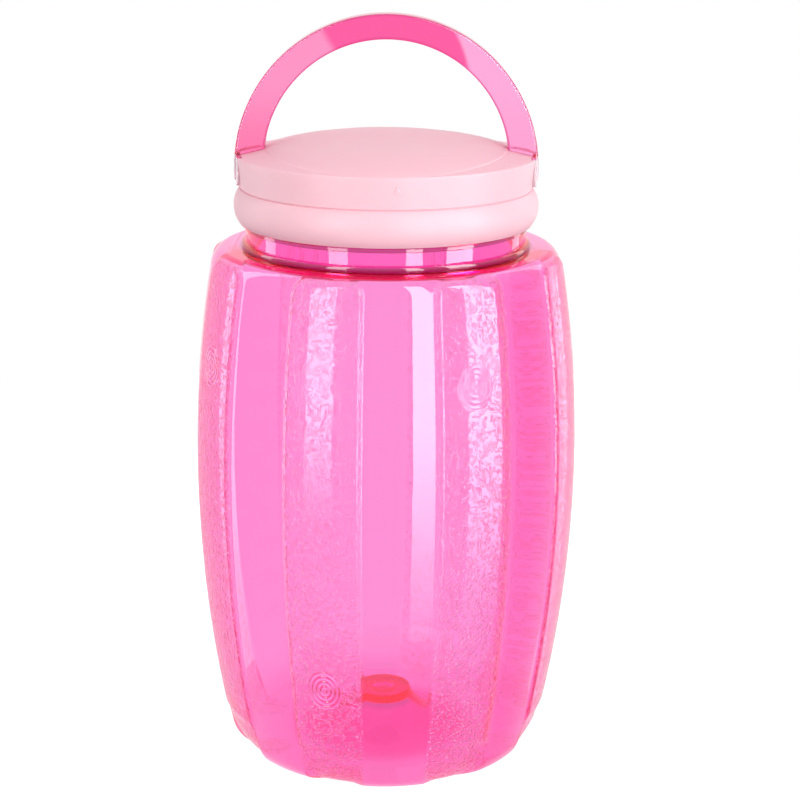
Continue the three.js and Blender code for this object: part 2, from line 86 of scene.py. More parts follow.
PLAIN_FOOT_RADIUS = 57.2 * MM
RAISED_FOOT_RADIUS = 54.4 * MM
PLAIN_FOOT_CORNER = 9 * MM
RAISED_FOOT_CORNER = 15 * MM
BELL_HEIGHT = 15 * MM
BELL_TOP_RADIUS = 11 * MM
BELL_FOOT_RADIUS = 43 * MM
BELL_FLARE = 2.5
BELL_RIM = 1.8 * MM
BELL_RIM_TINT = 0.45
GATE_RADIUS = 4.4 * MM
GATE_EDGE = 1.1 * MM
GATE_DEPTH = 0.7 * MM

NECK_BORE = 51.8 * MM
NECK_FLANGE_RADIUS = 57 * MM
NECK_FLANGE_TOP = 209.6 * MM
NECK_FLARE_TOP = 210.6 * MM
NECK_ROOT_BOTTOM = 206 * MM
NECK_ROOT_ROUND = 1.2 * MM
NECK_ROOT_SHARES = (0.35, 0.6, 0.8)
FLANGE_TINT = 1.0
FLANGE_TINT_FADE = 0.2
NECK_TINT_RADIUS = 58.4 * MM
COLLAR_RADIUS = 55.3 * MM
COLLAR_TOP = 218.2 * MM
BEAD_REACH = 0.6 * MM
BEAD_BOTTOM = 215.4 * MM
BEAD_TOP = 217.2 * MM
BEAD_ROUND = 0.3 * MM
BEAD_TINT = 0.8
THREAD_ROOT = 53.8 * MM
THREAD_TOP = 227.3 * MM
MOUTH_LIP_RADIUS = 53.2 * MM
MOUTH_ROUND = 0.4 * MM
THREAD_STARTS = 2
THREAD_LEAD = 9 * MM
RIDGE_HEIGHT = 1.5 * MM
RIDGE_HALF_WIDTH = 1 * MM
RIDGE_SLOPE = 0.45 * MM
RIDGE_BOTTOM = 219.9 * MM
RIDGE_SWEEP = 250 * DEGREE
RIDGE_RUN_IN = 18 * DEGREE

BACK_FROM = 85 * DEGREE
BACK_FADE = 15 * DEGREE
BACK_GRAIN = 0.4

JAR_STEPS = 384
SEAM_CROWDING = 0.78
BELL_TOP_STEPS = 12
BELL_FALL_STEPS = 20
FOOT_STEPS = 10
LOW_WALL_STEPS = 4
ROW = 7 * MM
SHOULDER_STEPS = 18
ROUND_STEPS = 4
THREAD_ROWS = 26
JAR_SHARP = 60 * DEGREE
MOUTH_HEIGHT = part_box("jar_body")[1].z


def clamp(value, low=0.0, high=1.0):
    return max(low, min(high, value))


def mix(start, end, share):
    return start + (end - start) * share


def smooth_step(share):
    share = clamp(share)
    return share * share * (3 - 2 * share)


def steps(low, high, count):
    """Evenly spaced values from low to high, both ends included."""
    return [mix(low, high, step / count) for step in range(count + 1)]


def wall_radius(height):
    """Radius of a plain stave: two arcs that meet at the belly."""
    below = height < BELLY_HEIGHT
    span = BELLY_HEIGHT if below else SHOULDER_HEIGHT - BELLY_HEIGHT
    drop = BELLY_RADIUS - (WALL_RADIUS_AT_FLOOR if below else WALL_RADIUS_AT_SHOULDER)
    radius = (span * span + drop * drop) / (2 * drop)
    away = height - BELLY_HEIGHT
    return BELLY_RADIUS - radius + math.sqrt(radius * radius - away * away)


def bell_line():
    """The raised bell in the floor, from its axis out: a flat top with the mould's gate
    sunk in it, a steep fall, and a flare out to the standing ring."""
    line = []
    for radius in steps(0, BELL_TOP_RADIUS, BELL_TOP_STEPS):
        sunk = smooth_step((GATE_RADIUS - radius) / GATE_EDGE)
        line.append((radius, BELL_HEIGHT - GATE_DEPTH * sunk))
    for share in steps(0, 1, BELL_FALL_STEPS)[1:]:
        radius = mix(BELL_TOP_RADIUS, BELL_FOOT_RADIUS, share ** BELL_FLARE)
        line.append((radius, BELL_HEIGHT * (1 + math.cos(math.pi * share)) / 2))
    return line


def floor_share(radius):
    """1 in the middle of the floor, down to the foot's own share of tint at its edge."""
    fade = (radius / BELL_FOOT_RADIUS - FLOOR_TINT_FADE) / (1 - FLOOR_TINT_FADE)
    return mix(1, FOOT_TINT / FLOOR_TINT, smooth_step(fade))


def shell_rows():
    """Rows up the outside and down the inside. Each has its radius and height on a plain
    stave, the same on a raised stave, the width of the step between them, and marks."""
    rows = []

    def row(plain, raised=None, edge=STAVE_EDGE, **marks):
        rows.append((plain, raised or plain, {"edge": edge, **marks}))

    def foot(turn, inset):
        places = []
        for flat, corner in (
            (PLAIN_FOOT_RADIUS, PLAIN_FOOT_CORNER),
            (RAISED_FOOT_RADIUS, RAISED_FOOT_CORNER),
        ):
            height = corner * (1 - math.cos(turn))
            radius = mix(flat, wall_radius(height), math.sin(turn))
            places.append((radius - inset * math.sin(turn), height + inset * math.cos(turn)))
        edge = mix(FOOT_EDGE, STAVE_EDGE, math.sin(turn))
        tint = FOOT_TINT * smooth_step((FOOT_TINT_TOP - places[0][1]) / FOOT_TINT_TOP)
        narrow = mix(FOOT_NARROWING, 0, math.sin(turn))
        if inset:
            row(*places, edge=edge, narrow=narrow, inner=1.0, deep=tint)
        else:
            row(*places, edge=edge, narrow=narrow, grain=1.0, deep=tint)

    def wall(height, inset):
        lift = STAVE_RISE * smooth_step((height - RAISED_FOOT_CORNER) / STAVE_FADE)
        radius = wall_radius(height) - inset
        marks = {"grain": 0.0, "inner": 1.0} if inset else {"grain": 1.0}
        row((radius, height), (radius + lift, height), **marks)

    def shoulder(turn, inset):
        height = SHOULDER_HEIGHT - SHOULDER_CORNER * (1 - math.cos(turn))
        radius = mix(SHOULDER_FLAT_RADIUS, wall_radius(height), math.sin(turn))
        out = (radius - inset * math.sin(turn), height - inset * math.cos(turn))
        raised = (out[0] + STAVE_RISE * math.sin(turn), out[1] + STAVE_RISE * math.cos(turn))
        marks = {"grain": 0.0, "inner": math.sin(turn)} if inset else {"grain": 1.0}
        row(out, raised, **marks)

    quarter = math.pi / 2
    bell = bell_line()
    foot_turns = steps(0, quarter, FOOT_STEPS)
    low, high = RAISED_FOOT_CORNER + STAVE_FADE, SHOULDER_HEIGHT - SHOULDER_CORNER
    wall_heights = steps(RAISED_FOOT_CORNER, low, LOW_WALL_STEPS)[1:]
    wall_heights += steps(low, high, round((high - low) / ROW))[1:]
    shoulder_turns = steps(quarter, 0, SHOULDER_STEPS)[1:]

    for place in bell:
        rim = smooth_step(1 - abs(place[0] - BELL_TOP_RADIUS) / BELL_RIM)
        row(place, deep=FLOOR_TINT * floor_share(place[0]), thick=BELL_RIM_TINT * rim)
    for turn in foot_turns:
        foot(turn, 0)
    for height in wall_heights:
        wall(height, 0)
    for turn in shoulder_turns:
        shoulder(turn, 0)
    row((NECK_TINT_RADIUS, SHOULDER_HEIGHT))
    row((NECK_FLANGE_RADIUS - MOUTH_ROUND / 2, SHOULDER_HEIGHT), thick=FLANGE_TINT)
    row((NECK_FLANGE_RADIUS, SHOULDER_HEIGHT + MOUTH_ROUND), thick=FLANGE_TINT)
    row((NECK_FLANGE_RADIUS, NECK_FLANGE_TOP - MOUTH_ROUND), thick=FLANGE_TINT)
    for turn in steps(0, quarter, ROUND_STEPS)[1:]:
        height = mix(NECK_FLANGE_TOP, NECK_FLARE_TOP, math.sin(turn))
        fade = math.sin(turn) * (1 + FLANGE_TINT_FADE) - FLANGE_TINT_FADE
        tint = FLANGE_TINT * (1 - smooth_step(fade))
        row((mix(COLLAR_RADIUS, NECK_FLANGE_RADIUS, math.cos(turn)), height), thick=tint)
    row((COLLAR_RADIUS, BEAD_BOTTOM))
    row((COLLAR_RADIUS + BEAD_REACH, BEAD_BOTTOM + BEAD_ROUND), thick=BEAD_TINT)
    row((COLLAR_RADIUS + BEAD_REACH, BEAD_TOP - BEAD_ROUND), thick=BEAD_TINT)
    row((COLLAR_RADIUS, BEAD_TOP), thick=BEAD_TINT)
    row((COLLAR_RADIUS, COLLAR_TOP - MOUTH_ROUND))
    row((COLLAR_RADIUS - MOUTH_ROUND, COLLAR_TOP))
    for height in steps(COLLAR_TOP + MOUTH_ROUND, THREAD_TOP, THREAD_ROWS):
        row((THREAD_ROOT, height), thread=1.0)
    row((MOUTH_LIP_RADIUS, THREAD_TOP + MOUTH_ROUND))
    row((MOUTH_LIP_RADIUS, MOUTH_HEIGHT - MOUTH_ROUND))
    row((MOUTH_LIP_RADIUS - MOUTH_ROUND, MOUTH_HEIGHT))
    row((NECK_BORE + MOUTH_ROUND, MOUTH_HEIGHT))
    row((NECK_BORE, MOUTH_HEIGHT - MOUTH_ROUND))
    for turn in steps(0, quarter, ROUND_STEPS):
        row((
            NECK_BORE + NECK_ROOT_ROUND * (1 - math.cos(turn)),
            NECK_ROOT_BOTTOM + NECK_ROOT_ROUND * (1 - math.sin(turn)),
        ))
    root_end = SHOULDER_HEIGHT - JAR_WALL
    for share in NECK_ROOT_SHARES:
        radius = mix(NECK_BORE + NECK_ROOT_ROUND, SHOULDER_FLAT_RADIUS, share)
        row((radius, mix(NECK_ROOT_BOTTOM, root_end, smooth_step(share))))
    for turn in reversed(shoulder_turns):
        shoulder(turn, JAR_WALL)
    for height in reversed(wall_heights[::2]):
        wall(height, JAR_WALL)
    for turn in reversed(foot_turns):
        foot(turn, JAR_WALL)
    for radius, height in reversed(bell[BELL_TOP_STEPS:-1]):
        wall_here = mix(FLOOR_WALL, JAR_WALL, smooth_step(radius / BELL_FOOT_RADIUS))
        row((radius, height + wall_here), deep=FLOOR_TINT * floor_share(radius))
    row((0.0, BELL_HEIGHT + FLOOR_WALL), deep=FLOOR_TINT)
    return rows


def ridge_height(angle, height):
    """How far the neck's thread stands out at an angle from the front and a height."""
    tallest = 0.0
    for start in range(THREAD_STARTS):
        turn = (angle - math.pi / 2 - start * 2 * math.pi / THREAD_STARTS) % (2 * math.pi)
        if turn > RIDGE_SWEEP:
            continue
        middle = RIDGE_BOTTOM + THREAD_LEAD * turn / (2 * math.pi)
        side = (RIDGE_HALF_WIDTH - abs(height - middle)) / RIDGE_SLOPE
        ends = min(turn, RIDGE_SWEEP - turn) / RIDGE_RUN_IN
        tallest = max(tallest, RIDGE_HEIGHT * smooth_step(side) * smooth_step(ends))
    return tallest


def stave_share(angle, below_top, edge, narrow):
    """1 on a raised stave and 0 off it. The stave's top end has rounded corners."""
    pitch = 2 * math.pi / STAVE_PAIRS
    turns = (angle - STAVE_TURN) / pitch
    across = abs(turns - round(turns)) * pitch * BELLY_RADIUS
    half = pitch / 4 * BELLY_RADIUS
    over_side = across - half + STAVE_CORNER
    over_top = STAVE_CORNER - below_top
    outside = math.hypot(max(over_side, 0), max(over_top, 0)) + min(max(over_side, over_top), 0)
    return smooth_step((STAVE_CORNER - narrow - outside) / edge + 0.5)


def crowd_seams(angle):
    """Turns evenly spaced angles so that they lie closer together at the staves' seams."""
    pitch = math.pi / STAVE_PAIRS
    share = (angle - STAVE_TURN) / pitch + 0.5
    share -= SEAM_CROWDING * math.sin(2 * math.pi * share) / (2 * math.pi)
    return STAVE_TURN + (share - 0.5) * pitch


SHARP = 30 * DEGREE


def finished(bm, name, sharp=SHARP):
    """Makes an object of a bmesh, smooth but for edges over the sharp angle."""
    mesh = bpy.data.meshes.new(name)
    bm.to_mesh(mesh)
    bm.free()
    mesh.shade_smooth()
    mesh.set_sharp_from_angle(angle=sharp)
    piece = bpy.data.objects.new(name, mesh)
    bpy.context.scene.collection.objects.link(piece)
    return piece


def turned(bm, geometry, count):
    """Turns a line of vertices and edges round the upright axis, into a closed skin."""
    bmesh.ops.spin(
        bm, geom=geometry, cent=(0, 0, 0), axis=(0, 0, 1),
        angle=2 * math.pi, steps=count, use_merge=True,
    )
    bmesh.ops.remove_doubles(bm, verts=bm.verts, dist=MM / 1000)
    bmesh.ops.recalc_face_normals(bm, faces=bm.faces)


# Marks of the vertices that the material reads; the others only shape the shell
KEPT_MARKS = ("grain", "thick", "deep")


def jar_shell():
    bm = bmesh.new()
    names = (
        "out", "up", "edge", "narrow", "grain", "thread", "thick", "deep", "inner", "below_top",
    )
    marks = {name: bm.verts.layers.float.new(name) for name in names}
    verts = []
    for plain, raised, given in shell_rows():
        vert = bm.verts.new((0, -plain[0], plain[1]))
        vert[marks["out"]] = raised[0] - plain[0]
        vert[marks["up"]] = raised[1] - plain[1]
        vert[marks["below_top"]] = SHOULDER_HEIGHT - STAVE_TOP - plain[1]
        for name, value in given.items():
            vert[marks[name]] = value
        verts.append(vert)
    turned(bm, verts + [bm.edges.new(pair) for pair in zip(verts, verts[1:])], JAR_STEPS)
    for vert in bm.verts:
        radius = math.hypot(vert.co.x, vert.co.y)
        angle = crowd_seams(math.atan2(vert.co.x, -vert.co.y))
        soft = smooth_step(2 - 2 * abs(angle - SOFT_SEAM) / SOFT_SEAM_REACH)
        edge = vert[marks["edge"]] * mix(1, SOFT_SEAM_WIDER, soft)
        below_top, narrow = vert[marks["below_top"]], vert[marks["narrow"]]
        share = stave_share(angle, below_top, edge, narrow)
        radius += vert[marks["out"]] * share
        if vert[marks["thread"]] > 0.5:
            radius += ridge_height(angle, vert.co.z)
        thicker = smooth_step(1 - abs(angle - THICK_STAVE) / THICK_STAVE_REACH)
        radius -= vert[marks["inner"]] * THICK_STAVE_EXTRA * thicker
        vert.co.x = radius * math.sin(angle)
        vert.co.y = -radius * math.cos(angle)
        vert.co.z += vert[marks["up"]] * share
        behind = smooth_step((abs(angle) - BACK_FROM) / BACK_FADE)
        vert[marks["grain"]] *= share * mix(1, BACK_GRAIN, behind)
    for name in names:
        if name not in KEPT_MARKS:
            bm.verts.layers.float.remove(bm.verts.layers.float[name])
    return finished(bm, "jar_shell", sharp=JAR_SHARP)


class Value:
    """A shader socket that Python's operators work on, each by a Math node."""

    def __init__(self, tree, socket):
        self.tree = tree
        self.socket = socket

    def math(self, operation, *others):
        node = self.tree.nodes.new("ShaderNodeMath")
        node.operation = operation
        for place, value in zip(node.inputs, (self, *others)):
            if isinstance(value, Value):
                self.tree.links.new(value.socket, place)
            else:
                place.default_value = value
        return Value(self.tree, node.outputs[0])

    def flipped(self, operation, other):
        node = self.tree.nodes.new("ShaderNodeMath")
        node.operation = operation
        node.inputs[0].default_value = other
        self.tree.links.new(self.socket, node.inputs[1])
        return Value(self.tree, node.outputs[0])

    def __add__(self, other):
        return self.math("ADD", other)

    def __sub__(self, other):
        return self.math("SUBTRACT", other)

    def __mul__(self, other):
        return self.math("MULTIPLY", other)

    def __truediv__(self, other):
        return self.math("DIVIDE", other)

    def __radd__(self, other):
        return self.flipped("ADD", other)

    def __rsub__(self, other):
        return self.flipped("SUBTRACT", other)

    def __rmul__(self, other):
        return self.flipped("MULTIPLY", other)

    def between(self, low, high):
        """0 below low, 1 above high and smooth in between. Low may be the higher one."""
        share = ((self - low) / (high - low)).math("MAXIMUM", 0.0).math("MINIMUM", 1.0)
        return share * share * (3.0 - 2.0 * share)


class Finish:
    """A material as it is written: its nodes, and the place on the object as x, y and z."""

    def __init__(self, name):
        self.material = bpy.data.materials.new(name)
        self.material.use_nodes = True
        self.tree = self.material.node_tree
        self.shader = self.tree.nodes["Principled BSDF"]
        self.place = self.node("ShaderNodeTexCoord", output="Object")
        apart = self.node("ShaderNodeSeparateXYZ", inputs={"Vector": self.place}, output=None)
        self.x, self.y, self.z = (Value(self.tree, apart.outputs[axis]) for axis in "XYZ")

    def node(self, kind, settings=None, inputs=None, output=0):
        node = self.tree.nodes.new(kind)
        for name, value in (settings or {}).items():
            setattr(node, name, value)
        for name, value in (inputs or {}).items():
            self.feed(node.inputs[name], value)
        return node if output is None else Value(self.tree, node.outputs[output])

    def feed(self, socket, value):
        if isinstance(value, Value):
            self.tree.links.new(value.socket, socket)
        else:
            socket.default_value = value

    def set(self, name, value):
        self.feed(self.shader.inputs[name], value)

    def vector(self, x, y, z):
        return self.node("ShaderNodeCombineXYZ", inputs={"X": x, "Y": y, "Z": z})

    def noise(self, place, scale, detail=2.0, distortion=0.0):
        return self.node(
            "ShaderNodeTexNoise",
            inputs={"Vector": place, "Scale": scale, "Detail": detail, "Distortion": distortion},
        )

    def colours(self, share, first, second):
        """Mixes two colours, each a socket or three plain parts."""
        first, second = (
            colour if isinstance(colour, Value) else (*colour, 1.0) for colour in (first, second)
        )
        inputs = {"Factor": share, 6: first, 7: second}
        return self.node("ShaderNodeMix", {"data_type": "RGBA"}, inputs, output=2)

    def bump(self, height, distance):
        inputs = {"Height": height, "Distance": distance, "Strength": 1.0}
        return self.node("ShaderNodeBump", inputs=inputs)

    def surface(self, shader):
        self.feed(self.tree.nodes["Material Output"].inputs["Surface"], shader)


def linear(red, green, blue):
    """A colour as a screen shows it, 0 to 255, in the linear light that shaders use."""
    return tuple(((part / 255 + 0.055) / 1.055) ** 2.4 for part in (red, green, blue))


# Heights in mm of the embossed knots, one on each raised stave, from the front left one
# round by the front, the right and the back
KNOT_HEIGHTS = (166.4, 46.0, 167.4, 41.0, 150.0, 60.0, 128.0, 44.0)
FIRST_KNOT = STAVE_TURN - 90 * DEGREE
KNOT_RADIUS = 8 * MM
KNOT_RIM = 0.85
KNOT_RING = 1.8 * MM
KNOT_STRETCH = 0.88
WRINKLE_WIDTH = 1.2 * MM
WRINKLE_LENGTH = 1.75 * MM
GRAIN_DEPTH = 0.17 * MM
SWAY_SCALE = 230.0
SWAY = 1.4
WRINKLE_SIDES = (0.09, 0.03)
GAP_SCALE = 480.0
GAP_SIDES = (0.42, 0.52)
RING_SIDES = (0.3, 0.9)
SWELL_SCALE = 300.0
WAVE_SCALE = 28.0
# How deep each part of the grain goes, as a share of its depth
WRINKLE_SHARE = 1.45
RING_SHARE = 0.7
SWELL_SHARE = 0.25
WAVE_SHARE = 0.9

GLOSS = 0.03
GROOVE_ROUGHNESS = 0.14
PLASTIC_IOR = 1.5
GLOSSY_LIMIT = 3.5
BOUNCE_LIMIT = 10.5
WAY_OUT_TINT = (1.0, 0.6, 0.9, 1.0)
CLEAR_TINT = (1.0, 0.84, 0.96)
DEEP_TINT = (1.0, 0.08, 0.46)
THICK_TINT = (0.16, 0.01, 0.05)
JAR_ABSORBED = (1.0, 0.0, 0.68)
JAR_DENSITY = 370.0


def clear_plastic(name, colour, absorbed, density):
    """Glass-clear plastic: a tint at the surface, and more of it with every millimetre.
    Light that is caught in the wall is let out, so that edges don't end black."""
    finish = Finish(name)
    finish.set("Base Color", (*colour, 1.0))
    finish.set("Roughness", GLOSS)
    finish.set("IOR", PLASTIC_IOR)
    finish.set("Transmission Weight", 1.0)
    inside = finish.node(
        "ShaderNodeVolumeAbsorption",
        inputs={"Color": (*absorbed, 1.0), "Density": density},
    )
    finish.feed(finish.tree.nodes["Material Output"].inputs["Volume"], inside)
    path = finish.node("ShaderNodeLightPath", output=None)
    caught = Value(finish.tree, path.outputs["Glossy Depth"]).math("GREATER_THAN", GLOSSY_LIMIT)
    spent = Value(finish.tree, path.outputs["Ray Depth"]).math("GREATER_THAN", BOUNCE_LIMIT)
    way_out = finish.node("ShaderNodeBsdfTransparent", inputs={"Color": WAY_OUT_TINT})
    finish.surface(finish.node("ShaderNodeMixShader", inputs={
        0: caught.math("MAXIMUM", spent),
        1: Value(finish.tree, finish.shader.outputs[0]),
        2: way_out,
    }))
    return finish


def knot_rings(finish, around):
    """The knots' rings, from -1 to 1, and where the knots lie, 0 or 1."""
    rings = near = None
    for number, height in enumerate(KNOT_HEIGHTS):
        turn = math.remainder(FIRST_KNOT + number * 2 * math.pi / STAVE_PAIRS, 2 * math.pi)
        across = around - turn * BELLY_RADIUS
        along = (finish.z - height * MM) * KNOT_STRETCH
        away = (across * across + along * along).math("SQRT")
        inside = away.between(KNOT_RADIUS, KNOT_RADIUS * KNOT_RIM)
        ring = (away * (2 * math.pi / KNOT_RING)).math("SINE") * inside
        rings = ring if rings is None else rings + ring
        near = inside if near is None else near + inside
    return rings, near


def jar_finish():
    """Tint by how thick the wall is, and a wood grain of short wrinkles and knots."""
    finish = clear_plastic("clear_pink_plastic", CLEAR_TINT, JAR_ABSORBED, JAR_DENSITY)
    on_stave, thick, deep = (
        finish.node("ShaderNodeAttribute", {"attribute_name": mark}, output="Fac")
        for mark in KEPT_MARKS
    )
    plain = finish.colours(deep, CLEAR_TINT, DEEP_TINT)
    finish.set("Base Color", finish.colours(thick, plain, THICK_TINT))
    around = finish.x.math("ARCTAN2", 0.0 - finish.y) * BELLY_RADIUS
    rings, near = knot_rings(finish, around)
    sway = finish.noise(finish.place, SWAY_SCALE, 1.0) * SWAY
    flow = finish.vector(
        around / WRINKLE_WIDTH + sway, finish.z / WRINKLE_LENGTH - sway, 0.0,
    )
    wrinkle = (finish.noise(flow, 1.0, 1.0, 0.5) - 0.5).math("ABSOLUTE").between(*WRINKLE_SIDES)
    broken = finish.noise(finish.place, GAP_SCALE, 1.0).between(*GAP_SIDES)
    wrinkle = wrinkle * broken * (1.0 - near)
    groove = (wrinkle + rings.between(*RING_SIDES)) * on_stave
    finish.set("Roughness", GLOSS + GROOVE_ROUGHNESS * groove)
    swell = finish.noise(finish.place, SWELL_SCALE, 1.0) * SWELL_SHARE
    wave = finish.noise(finish.place, WAVE_SCALE, 1.0) * WAVE_SHARE
    relief = (swell - wrinkle * WRINKLE_SHARE - rings * RING_SHARE) * on_stave + wave
    finish.set("Normal", finish.bump(relief, GRAIN_DEPTH))
    return finish.material


jar = jar_shell()
jar.data.materials.append(jar_finish())
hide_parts("jar_body")
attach(jar, "jar")


# Lid cover
# The outer shell of the double-wall lid is an opaque pale pink moulding. A roll runs
# round its foot, a groove parts it from a band that widens up to the rim, and a shallow
# dome leaves a sloping ledge at each side for the handle.

LID_BOTTOM = 217.6 * MM
LID_LIP_INNER = 56 * MM
LID_LIP_OUTER = 57.6 * MM
LID_LIP_HEIGHT = 2 * MM
ROLL_RADIUS = 60 * MM
ROLL_HEIGHT = 224.6 * MM
GROOVE_RADIUS = 57 * MM
GROOVE_HEIGHT = 231.6 * MM
GROOVE_HALF = 0.4 * MM
BAND_BOTTOM = 57.6 * MM
RIM_RADIUS = 59 * MM
RIM_HEIGHT = 243.8 * MM
RIM_ROUND = 0.5 * MM
LEDGE_RADIUS = RIM_RADIUS - 2.5 * RIM_ROUND
COVER_WALL = 1.8 * MM
COVER_ROLL_BORE = 57.5 * MM
COVER_BAND_BORE = 55.6 * MM
COVER_STEP_HEIGHT = 229.7 * MM
DOME_HALF_WIDTH = 47 * MM
DOME_HALF_DEPTH = 57.4 * MM
DOME_RISE = 6.8 * MM
DOME_RISE_AT_LEDGE = 3 * MM
DOME_STEP = 0.3 * MM
SMALL_GAP = 0.3 * MM
LID_STEPS = 256
ROLL_STEPS = 22
RIM_STEPS = 6
TOP_SHARES = (1.0, 0.99, 0.96, 0.9, 0.8, 0.65, 0.5, 0.35, 0.2, 0.1)
MARK_RADIUS = 2 * MM
MARK_TAPER = 0.7
MARK_DEPTH = 1.4 * MM
MARK_OUT = 58.4 * MM
MARK_HEIGHT = 239 * MM
MARK_TURN = 4 * DEGREE


def dome_edge(angle):
    return 1 / math.hypot(math.sin(angle) / DOME_HALF_WIDTH, math.cos(angle) / DOME_HALF_DEPTH)


def dome_height(angle, radius):
    across = radius * math.sin(angle) / DOME_HALF_WIDTH
    along = radius * math.cos(angle) / DOME_HALF_DEPTH
    fall = (DOME_RISE - DOME_RISE_AT_LEDGE) * across ** 2 + DOME_RISE * along ** 2
    return RIM_HEIGHT + DOME_RISE - fall * (across ** 2 + along ** 2)


def ledge_height(angle, radius):
    inner = dome_edge(angle)
    outer = RIM_RADIUS - 2 * RIM_ROUND
    foot = dome_height(angle, inner) - DOME_STEP
    return RIM_HEIGHT + (foot - RIM_HEIGHT) * clamp((outer - radius) / (outer - inner))


def cover_skin():
    """The cover's outside as radii and heights, from its lip up to the rim."""
    drop = ROLL_RADIUS - BAND_BOTTOM
    roll_top = GROOVE_HEIGHT - GROOVE_HALF
    high, low = roll_top - ROLL_HEIGHT, ROLL_HEIGHT - LID_BOTTOM
    curl = ROLL_RADIUS - LID_LIP_OUTER
    top_arc = (high * high + drop * drop) / (2 * drop)
    low_arc = (low * low + curl * curl) / (2 * curl)
    outline = [(LID_LIP_INNER, LID_BOTTOM)]
    for height in steps(LID_BOTTOM, roll_top, ROLL_STEPS):
        away = height - ROLL_HEIGHT
        arc = low_arc if away < 0 else top_arc
        outline.append((ROLL_RADIUS - arc + math.sqrt(arc * arc - away * away), height))
    outline.append((GROOVE_RADIUS, GROOVE_HEIGHT - GROOVE_HALF / 2))
    outline.append((GROOVE_RADIUS, GROOVE_HEIGHT))
    outline.append((BAND_BOTTOM, GROOVE_HEIGHT + GROOVE_HALF))
    outline.append((RIM_RADIUS, RIM_HEIGHT - RIM_ROUND))
    for turn in steps(0, math.pi, RIM_STEPS):
        outline.append((
            RIM_RADIUS - RIM_ROUND + RIM_ROUND * math.cos(turn),
            RIM_HEIGHT + RIM_ROUND * math.sin(turn) - RIM_ROUND / 2,
        ))
    return outline


def lid_cover():
    """The cover, turned. Each row of the top carries a number, by which the ledges (1 and
    2) and the dome (3 and up) are shaped after."""
    bm = bmesh.new()
    kind = bm.verts.layers.int.new("kind")
    verts = []

    def vert(radius, height, number=0):
        verts.append(bm.verts.new((0, -radius, height)))
        verts[-1][kind] = number

    for radius, height in cover_skin():
        vert(radius, height)
    vert(LEDGE_RADIUS, RIM_HEIGHT, 1)
    vert(DOME_HALF_WIDTH, RIM_HEIGHT, 2)
    for number, share in enumerate(TOP_SHARES, start=3):
        vert(share * DOME_HALF_WIDTH, RIM_HEIGHT + MM, number)
    vert(0, RIM_HEIGHT + DOME_RISE)
    vert(0, RIM_HEIGHT + DOME_RISE - COVER_WALL)
    vert(COVER_BAND_BORE, RIM_HEIGHT - COVER_WALL)
    vert(COVER_BAND_BORE, COVER_STEP_HEIGHT)
    vert(COVER_ROLL_BORE, COVER_STEP_HEIGHT)
    vert(COVER_ROLL_BORE, LID_BOTTOM + LID_LIP_HEIGHT)
    vert(LID_LIP_INNER, LID_BOTTOM + LID_LIP_HEIGHT)
    edges = [bm.edges.new(pair) for pair in zip(verts, verts[1:] + verts[:1])]
    turned(bm, verts + edges, LID_STEPS)
    for vert in bm.verts:
        number = vert[kind]
        if number == 0:
            continue
        angle = math.atan2(vert.co.x, -vert.co.y)
        edge = dome_edge(angle)
        if number == 1:
            radius = LEDGE_RADIUS
            height = ledge_height(angle, radius)
        elif number == 2:
            radius = edge + SMALL_GAP
            height = ledge_height(angle, radius)
        else:
            radius = TOP_SHARES[number - 3] * edge
            height = dome_height(angle, radius)
        vert.co = (radius * math.sin(angle), -radius * math.cos(angle), height)
    bm.verts.layers.int.remove(bm.verts.layers.int["kind"])
    return finished(bm, "lid_outer_cover")


def lid_finish():
    """Opaque, a little cloudy and finely pitted, with a soft gloss."""
    finish = Finish("pale_pink_plastic")
    cloud = finish.noise(finish.place, LID_CLOUD_SCALE, 3.0)
    smear = finish.noise(finish.place, LID_SMEAR_SCALE)
    pits = finish.noise(finish.place, LID_PIT_SCALE)
    finish.set("Base Color", finish.colours(cloud, LID_COLOUR, LID_DEEP))
    finish.set("Roughness", LID_ROUGHNESS + LID_SMEAR * smear)
    finish.set("Specular IOR Level", LID_SHINE)
    finish.set("Subsurface Weight", LID_MILKINESS)
    finish.set("Subsurface Radius", (1.0, 0.5, 0.5))
    finish.set("Subsurface Scale", 2 * MM)
    finish.set("Normal", finish.bump(pits, LID_PIT_DEPTH))
    return finish.material


def band_mark():
    """A small raised triangle on the band's front, point up."""
    bm = bmesh.new()
    bmesh.ops.create_cone(
        bm, cap_ends=True, segments=3, depth=MARK_DEPTH,
        radius1=MARK_RADIUS, radius2=MARK_RADIUS * MARK_TAPER,
    )
    upright = Matrix.Rotation(math.pi / 2, 3, "X")
    bmesh.ops.rotate(bm, verts=bm.verts, cent=(0, 0, 0), matrix=upright)
    bmesh.ops.translate(bm, verts=bm.verts, vec=(0, -MARK_OUT, MARK_HEIGHT))
    aside = Matrix.Rotation(MARK_TURN, 3, "Z")
    bmesh.ops.rotate(bm, verts=bm.verts, cent=(0, 0, 0), matrix=aside)
    return finished(bm, "band_mark")


LID_COLOUR = linear(252, 200, 212)
LID_DEEP = linear(250, 196, 208)
LID_CLOUD_SCALE = 45.0
LID_ROUGHNESS = 0.4
LID_SMEAR = 0.12
LID_SMEAR_SCALE = 140.0
LID_SHINE = 0.3
LID_MILKINESS = 0.15
LID_PIT_SCALE = 900.0
LID_PIT_DEPTH = 0.01 * MM
lid_plastic = lid_finish()
cover = lid_cover()
cover.data.materials.append(lid_plastic)
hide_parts("lid_cover")
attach(cover, "lid")


# Screw cap and soft ring
# The cap with the female thread snaps in behind the cover's lip, in the same pale pink
# plastic. A milky soft ring lies against its plate. Both are the frame's own pieces.

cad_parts["screw_cap"].data.materials.clear()
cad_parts["screw_cap"].data.materials.append(lid_plastic)

